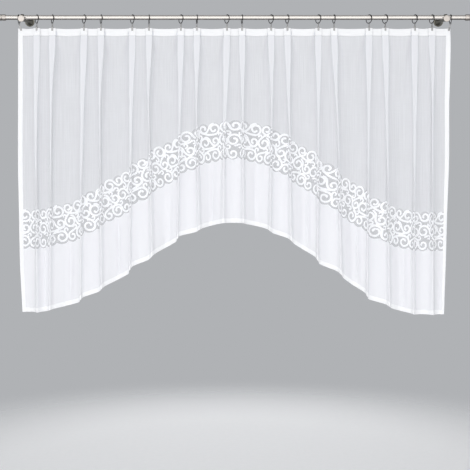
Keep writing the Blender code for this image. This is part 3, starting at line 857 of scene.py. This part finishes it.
def rounded(radius, height, ease, steps=4):
    # a quarter round at the rim of a turned shape, as profile points
    turns = [math.pi / 2 * k / steps for k in range(steps + 1)]
    return [(radius - ease * (1 - math.cos(turn)), height - ease * (1 - math.sin(turn)))
            for turn in turns]


def makeRod():
    # a tube, closed a little way in at each end
    length = rod["right"] - rod["left"]
    r, inside, ease = rod["radius"], rod["radius"] - rod["wall"], rod["ease"]
    profile = [(0.0, rod["plug"]), (inside, rod["plug"]), (inside, ease), (inside + ease, 0.0),
               (r - ease, 0.0), (r, ease)]
    profile += [(radius, length - height) for radius, height in reversed(profile)]
    return turnedMesh("rodTube", profile, 64, facing((1, 0, 0), (rod["left"], rod["y"], 0)))


addPiece("rodTube", makeRod(), steel["tube"], ["rod"])

finial = {"radius": 0.0125, "bore": 0.0098, "inner": 0.0003, "mouth": -0.0197, "length": 0.046,
          "groove": 0.014, "grooveDeep": 0.0015, "ease": 0.003}


def makeFinial(end, outward):
    r, bore, inner, mouth = (finial[name] for name in ("radius", "bore", "inner", "mouth"))
    tip, groove, deep = mouth + finial["length"], mouth + finial["groove"], r - finial["grooveDeep"]
    profile = [(0, inner), (bore, inner), (bore, mouth + 0.0004), (bore + 0.0004, mouth),
               (r - 0.001, mouth), (r - 0.0003, mouth + 0.0003), (r, mouth + 0.001),
               (r, groove - 0.0002), (r - 0.0003, groove), (deep, groove + 0.0006),
               (deep, groove + 0.0019), (r - 0.0003, groove + 0.0025), (r, groove + 0.0027)]
    profile += rounded(r, tip, finial["ease"], 6) + [(r - 0.006, tip), (0, tip)]
    return turnedMesh("finialCap", profile, 56, facing((outward, 0, 0), (end, rod["y"], 0)))


for side, outward in (("left", -1), ("right", 1)):
    addPiece(f"finialCap_{side}", makeFinial(rod[side], outward), steel["turned"],
             [f"finial_{side}"])

bracket = {"x": 0.8880, "high": 0.014, "low": -0.010, "plate": 0.021, "plateThick": 0.005,
           "foot": 0.0165, "footLength": 0.036, "arm": 0.0058, "collar": 0.0135,
           "collarWidth": 0.012, "neck": 0.005, "neckReach": 0.0195, "bore": 0.0098,
           "capThick": 0.005, "gap": 0.0003}


def joined(mesh, cutter, operation):
    # one boolean step between two closed meshes, with its result as a plain mesh
    base = bpy.data.objects.new("base", mesh)
    other = bpy.data.objects.new("other", cutter)
    for thing in (base, other):
        bpy.context.scene.collection.objects.link(thing)
    modifier = base.modifiers.new("step", "BOOLEAN")
    modifier.object, modifier.operation, modifier.solver = other, operation, "EXACT"
    bpy.context.view_layer.update()
    result = bpy.data.meshes.new_from_object(base.evaluated_get(
        bpy.context.evaluated_depsgraph_get()))
    for thing in (base, other):
        bpy.data.objects.remove(thing)
    return result


def makeBracket(x):
    b = bracket
    # the foot and the arm are one turned shape, slanted so that the arm ends lower than the plate
    slant = Matrix.Identity(4)
    slant[2][1] = (b["high"] - b["low"]) / -rod["y"]
    foot = [(mix(b["foot"], b["arm"], share) + 0.0008 * math.sin(math.pi * share),
             mix(b["plateThick"], b["footLength"], share)) for share in (0, 0.25, 0.5, 0.75, 1)]
    arm = ([(0, b["plateThick"] - 0.001), (b["foot"], b["plateThick"] - 0.001)] + foot
           + [(b["arm"], -rod["y"]), (0, -rod["y"])])
    plate = [(0, 0), (b["plate"] - 0.0006, 0), (b["plate"], 0.0006)]
    plate += rounded(b["plate"], b["plateThick"], 0.0014, 5) + [(0, b["plateThick"])]
    neck = [(0, -0.001), (b["neck"], -0.001), (b["neck"], b["neckReach"]), (0, b["neckReach"])]
    half = b["collarWidth"] / 2
    rim = rounded(b["collar"], half, 0.001)
    collar = [(0, -half)] + [(r, -h) for r, h in reversed(rim)] + rim + [(0, half)]
    bore = [(0, -0.02), (b["bore"], -0.02), (b["bore"], 0.02), (0, 0.02)]
    onWall = facing((0, -1, 0), (x, 0, b["high"]))
    onRod = facing((1, 0, 0), (x, rod["y"], 0))
    shape = turnedMesh("arm", arm, 48, slant @ onWall)
    for name, profile, steps, place in (
            ("plate", plate, 56, onWall),
            ("neck", neck, 32, facing((0, -1, 0), (x, rod["y"], b["low"]))),
            ("collar", collar, 56, onRod), ("bore", bore, 64, onRod)):
        shape = joined(shape, turnedMesh(name, profile, steps, place),
                       "DIFFERENCE" if name == "bore" else "UNION")
    return shape


def makeBracketCap(x):
    b = bracket
    profile = [(0, 0), (b["collar"] - 0.0005, 0), (b["collar"], 0.0005)]
    profile += rounded(b["collar"], b["capThick"], 0.0012, 5)
    profile += [(0.007, b["capThick"]), (0, b["capThick"])]
    back = rod["y"] - b["neckReach"] - b["gap"]
    return turnedMesh("frontCap", profile, 56, facing((0, -1, 0), (x, back, b["low"])))


for side, x in (("left", -bracket["x"]), ("right", bracket["x"])):
    addPiece(f"wallBracket_{side}", makeBracket(x), steel["cast"], [f"bracket_{side}"],
             angle=40)
    addPiece(f"frontCap_{side}", makeBracketCap(x), steel["turned"], [f"bracket_cap_{side}"])
print("rod and brackets made")

ring = {"radius": 0.0175, "wire": 0.0015, "z": -0.00614, "sides": 56, "wireSides": 12}
clip = {"width": 0.007, "metal": 0.0009, "bottom": -0.056, "roof": -0.0410, "shoulder": -0.0395,
        "neck": -0.0330, "top": -0.0286, "neckHalf": 0.0012, "eye": 0.0037, "eyeWire": 0.0008,
        "back": 0.00445, "front": -0.00445, "endFront": 0.00155, "eyeZ": -0.0246,
        "narrowing": 0.45, "ease": 0.00022}


def makeTorus(name, radius, wire, sides, wireSides, place):
    bm = bmesh.new()
    section = bmesh.ops.create_circle(bm, cap_ends=False, segments=wireSides, radius=wire,
                                      matrix=Matrix.Translation((radius, 0, 0))
                                      @ Matrix.Rotation(math.pi / 2, 4, "X"))
    edges = list({edge for vert in section["verts"] for edge in vert.link_edges})
    bmesh.ops.spin(bm, geom=section["verts"] + edges, cent=(0, 0, 0), axis=(0, 0, 1),
                   angle=2 * math.pi, steps=sides, use_merge=True)
    bmesh.ops.recalc_face_normals(bm, faces=bm.faces)
    bmesh.ops.transform(bm, matrix=place, verts=bm.verts)
    return toMesh(name, bm)


def makeClip(front):
    # a strip bent over the heading, seen from its side as places out from the cloth and up
    c = clip
    back, half, neck, low = c["back"] + c["metal"], c["neckHalf"], c["neck"], c["bottom"]
    bend, outer = c["shoulder"] + 0.0004, front - c["metal"]
    outline = [
        (c["back"], low), (back, low), (back, c["shoulder"] - 0.001), (back - 0.0006, bend),
        (half + 0.0003, neck - 0.0003), (half, neck + 0.0006), (half, c["top"]),
        (-half, c["top"]), (-half, neck + 0.0006), (-half - 0.0003, neck - 0.0003),
        (outer + (0.0006 if front < 0 else 0), bend), (outer, c["shoulder"] - 0.001),
        (outer, low), (front, low), (front, c["roof"]), (c["back"], c["roof"]),
    ]
    bm = bmesh.new()
    face = bm.faces.new([bm.verts.new((-c["width"] / 2, y, z)) for y, z in outline])
    side = bmesh.ops.extrude_face_region(bm, geom=[face])
    moved = [item for item in side["geom"] if isinstance(item, bmesh.types.BMVert)]
    bmesh.ops.translate(bm, vec=(c["width"], 0, 0), verts=moved)
    bmesh.ops.recalc_face_normals(bm, faces=bm.faces)
    # the head narrows towards its eye, and the jaws keep their whole width
    for vert in bm.verts:
        rise = min(max((vert.co.z - c["roof"]) / (neck - c["roof"]), 0), 1)
        vert.co.x *= 1 - c["narrowing"] * rise
    bmesh.ops.bevel(bm, geom=bm.edges[:], offset=c["ease"], offset_type="OFFSET", segments=2,
                    profile=0.5, affect="EDGES", material=-1, clamp_overlap=True)
    place = Matrix.Translation((0, 0, c["eyeZ"])) @ Matrix.Rotation(math.pi / 2, 4, "X")
    eye = makeTorus("clipEye", c["eye"], c["eyeWire"], 28, 8, place)
    return joined(toMesh("clipBody", bm), eye, "UNION")


pleatClip, endClip = makeClip(clip["front"]), makeClip(clip["endFront"])
for number, (x, turn, slant) in enumerate(ringPlaces, 1):
    place = (Matrix.Translation((x / 1000, rod["y"], ring["z"]))
             @ Matrix.Rotation(math.radians(turn), 4, "Z") @ Matrix.Rotation(math.pi / 2, 4, "Y"))
    wire = makeTorus("ringWire", ring["radius"], ring["wire"], ring["sides"], ring["wireSides"],
                     place)
    addPiece(f"ringWire_{number:02d}", wire, steel["wire"], [f"ring_{number:02d}"],
             angle=0)
    shape = (endClip if number in (1, len(ringPlaces)) else pleatClip).copy()
    shape.transform(Matrix.Translation((x / 1000, rod["y"], clip["eyeZ"]))
                    @ Matrix.Rotation(math.radians(slant), 4, "Y")
                    @ Matrix.Translation((0, 0, -clip["eyeZ"])))
    made = addPiece(f"clipSprung_{number:02d}", shape, steel["pressed"], [f"clip_{number:02d}"])
print("rings and clips made")

# heading tape, woven polyester, stitched behind the heading: fine ribs that the stitches cross
tape = {"half": 0.8990, "top": -0.0465, "height": 0.028, "front": cloth["y"] + 0.0011,
        "thickness": 0.0008, "selvedge": 0.00022, "wavy": 0.00018, "drawnIn": 0.0003,
        "drawnMm": 4}
tapeLook = {"light": "#F7F7FA", "shade": "#DDE0E6", "ribMm": 4.8, "rowMm": 3.768}


def makeTape():
    bm = bmesh.new()
    bmesh.ops.create_grid(bm, x_segments=360, y_segments=10, size=1)
    for vert in bm.verts:
        x, up = vert.co.x * tape["half"], vert.co.y
        # firm selvedges stand a little proud, and the pleats' seams draw the tape in
        out = tape["selvedge"] * max(0.0, abs(up) - 0.75) / 0.25
        out += tape["wavy"] * math.sin(x * 210) * math.sin(x * 37 + up)
        out += sum(tape["drawnIn"] * math.exp(-((x * 1000 - place[0]) / tape["drawnMm"]) ** 2)
                   for place in ringPlaces)
        vert.co = (x, tape["front"] + out, tape["top"] - tape["height"] / 2 * (1 - up))
    return toMesh("headingTape", bm)


def makeTapeMaterial():
    made, tree, shader = newMaterial("woven polyester heading tape", Roughness=0.8,
                                     Sheen_Weight=0.2, Specular_IOR_Level=0.25)
    place = addNode(tree, "TexCoord").outputs["Object"]
    # at a scale of 1 the waves stand 314 mm apart
    ribs, rows = [addNode(tree, "TexWave", {"Vector": place, "Scale": 314 / tapeLook[spacing],
                                            "Distortion": bent, "Detail": 1.0},
                          wave_type="BANDS", bands_direction=axis).outputs["Fac"]
                  for spacing, bent, axis in (("ribMm", 0.6, "X"), ("rowMm", 0.4, "Z"))]
    weave = addNode(tree, "Math", {0: ribs, 1: rows}, operation="MULTIPLY")
    colorAndBump(tree, shader, weave, tapeLook["shade"], tapeLook["light"], 0.5, 0.0004)
    return made


headingTape = addPiece("headingTapeWoven", makeTape(), makeTapeMaterial(), ["heading_tape"],
                       angle=0)
thick = headingTape.modifiers.new("weave thickness", "SOLIDIFY")
thick.thickness, thick.offset = tape["thickness"], -1.0

# lockstitch, one short cord a stitch, in metres
stitch = {"step": 0.0034, "length": 0.0023, "radius": 0.00028, "lift": 0.00012, "pressed": 0.8,
          "fromEdge": 0.0012, "fromSide": 0.004}


def makeStitching():
    # along the heading, both side hems and the bottom hem
    step, inset, margin = stitch["step"], stitch["fromEdge"], stitch["fromSide"]
    along = np.arange(margin, flatWidth - margin, step)
    places = [(flat, drop, 1, 0) for drop in (turned["seamDrop"], turned["heading"] - 0.002)
              for flat in along]
    for flat in (turned["side"] - inset, flatWidth - turned["side"] + inset):
        drops = np.arange(turned["heading"] + 0.003, float(hemDrop(flat)) - 0.006, step)
        places += [(flat, drop, 0, 1) for drop in drops]
    places += [(flat, float(hemDrop(flat)) - turned["hem"] + inset, 1,
                float(np.interp(flat, centreFlat, centreSlope))) for flat in along]
    bm = bmesh.new()
    bmesh.ops.create_cone(bm, cap_ends=True, segments=4, radius1=stitch["radius"],
                          radius2=stitch["radius"], depth=stitch["length"],
                          matrix=Matrix.Rotation(math.pi / 2, 4, "Y"))
    one = toMesh("stitch", bm)
    points = vertexArray(one)
    bm = bmesh.new()
    for _ in places:
        bm.from_mesh(one)
    mesh = toMesh("hemStitching", bm)
    # each stitch lies along its seam, which runs in the direction (right, down)
    flat, drop, right, down = np.repeat(np.array(places, float), len(points), axis=0).T
    x, y, z = np.tile(points, (len(places), 1)).T
    length = np.hypot(right, down)
    setPoints(mesh, onCloth(flat + (x * right - y * down) / length,
                            drop + (x * down + y * right) / length,
                            stitch["lift"] + z * stitch["pressed"]))
    print("stitches", len(places), "faces", len(mesh.polygons))
    return mesh


stitching = addPiece("hemStitching", makeStitching(), figure, angle=0)


# studio: plain light grey surroundings, a pale floor, and broad soft lights
studio = {
    "surround": "#B0B2B5", "mirrored": "#232427", "floor": "#E9E9EA", "floorShade": "#E3E4E5",
    "floorPlace": (0.0, 0.9, -2.25), "floorRadius": 3.0, "fadesFrom": 1.3,
    "lights": [
        # name, place, aimed at, width and height (m), power (W)
        ("front", (0.0, -4.5, 0.0), (0.0, 0.0, 0.0), (5.6, 4.4), 83.0),
        ("key", (-5.2, -6.8, 1.2), (0.0, 0.0, -0.6), (4.5, 4.5), 54.0),
        ("top", (0.0, -1.4, 2.6), (0.0, -0.1, 0.0), (4.0, 2.0), 15.0),
        ("left", (-4.0, -2.6, -0.5), (0.0, -0.1, -0.7), (2.6, 2.6), 18.0),
        ("right", (4.0, -2.6, -0.5), (0.0, -0.1, -0.7), (2.6, 2.6), 15.0),
        ("low", (0.0, -2.6, -2.1), (0.0, -0.1, 0.0), (4.0, 2.4), 20.0),
        ("back", (0.0, 4.6, 0.2), (0.0, 0.0, -0.6), (5.6, 4.4), 115.0),
        ("floor", (0.0, 0.9, -1.35), (0.0, 0.9, -2.0), (5.6, 4.8), 20.0),
    ],
}

world = bpy.data.worlds.new("studio")
bpy.context.scene.world = world
world.use_nodes = True
# even surroundings, but the metal mirrors darker ones high and low behind the curtain
tree = world.node_tree
towards = addNode(tree, "SeparateXYZ", {"Vector": addNode(tree, "TexCoord").outputs["Generated"]})
height = addNode(tree, "Math", {0: towards.outputs["Z"]}, operation="ABSOLUTE")
seen = addNode(tree, "LightPath").outputs["Is Camera Ray"]
share = addNode(tree, "Math", {0: 1.0, 1: seen}, operation="SUBTRACT")
for place, low, high in ((height, 0.34, 0.72), (towards.outputs["Y"], -0.15, 0.25)):
    beyond = addNode(tree, "MapRange", {"Value": place, "From Min": low, "From Max": high},
                     interpolation_type="SMOOTHSTEP")
    share = addNode(tree, "Math", {0: share, 1: beyond}, operation="MULTIPLY")
around = addNode(tree, "Mix", {"Factor": share, "A": hexColor(studio["surround"]),
                               "B": hexColor(studio["mirrored"])}, data_type="RGBA")
setInputs(tree, tree.nodes["Background"], {"Color": around})

for name, at, aim, size, power in studio["lights"]:
    data = bpy.data.lights.new(name, "AREA")
    data.shape, data.energy = "RECTANGLE", power
    data.size, data.size_y = size
    light = bpy.data.objects.new(name, data)
    light.location = at
    light.visible_camera = False
    light.visible_glossy = name not in ("back", "left", "right")
    light.rotation_euler = (Vector(aim) - Vector(at)).to_track_quat("-Z", "Y").to_euler()
    bpy.context.scene.collection.objects.link(light)


def makeFloor():
    made, tree, shader = newMaterial("matt painted floor", Roughness=0.85)
    place = addNode(tree, "TexCoord").outputs["Object"]
    away = addNode(tree, "VectorMath", {0: place}, operation="LENGTH").outputs["Value"]
    fade = addNode(tree, "MapRange", {"Value": away, "From Min": studio["fadesFrom"],
                                      "From Max": studio["floorRadius"], "To Min": 1.0,
                                      "To Max": 0.0}, interpolation_type="SMOOTHSTEP")
    grain = addNode(tree, "TexNoise", {"Vector": place, "Scale": 30.0})
    color = addNode(tree, "Mix", {"Factor": grain, "A": hexColor(studio["floor"]),
                                  "B": hexColor(studio["floorShade"])}, data_type="RGBA")
    setInputs(tree, shader, {"Base Color": color, "Alpha": fade})
    return made


bm = bmesh.new()
bmesh.ops.create_circle(bm, cap_ends=True, segments=96, radius=studio["floorRadius"])
floor = bpy.data.objects.new("floor", toMesh("floor", bm))
floor.data.materials.append(makeFloor())
floor.location = studio["floorPlace"]
floor.visible_glossy = False        # so that the polished metal keeps its dark undersides
bpy.context.scene.collection.objects.link(floor)

bpy.context.scene.view_settings.view_transform = "Standard"
bpy.context.scene.view_settings.look = "None"
bpy.context.scene.cycles.transparent_max_bounces = 32

print("studio ready")
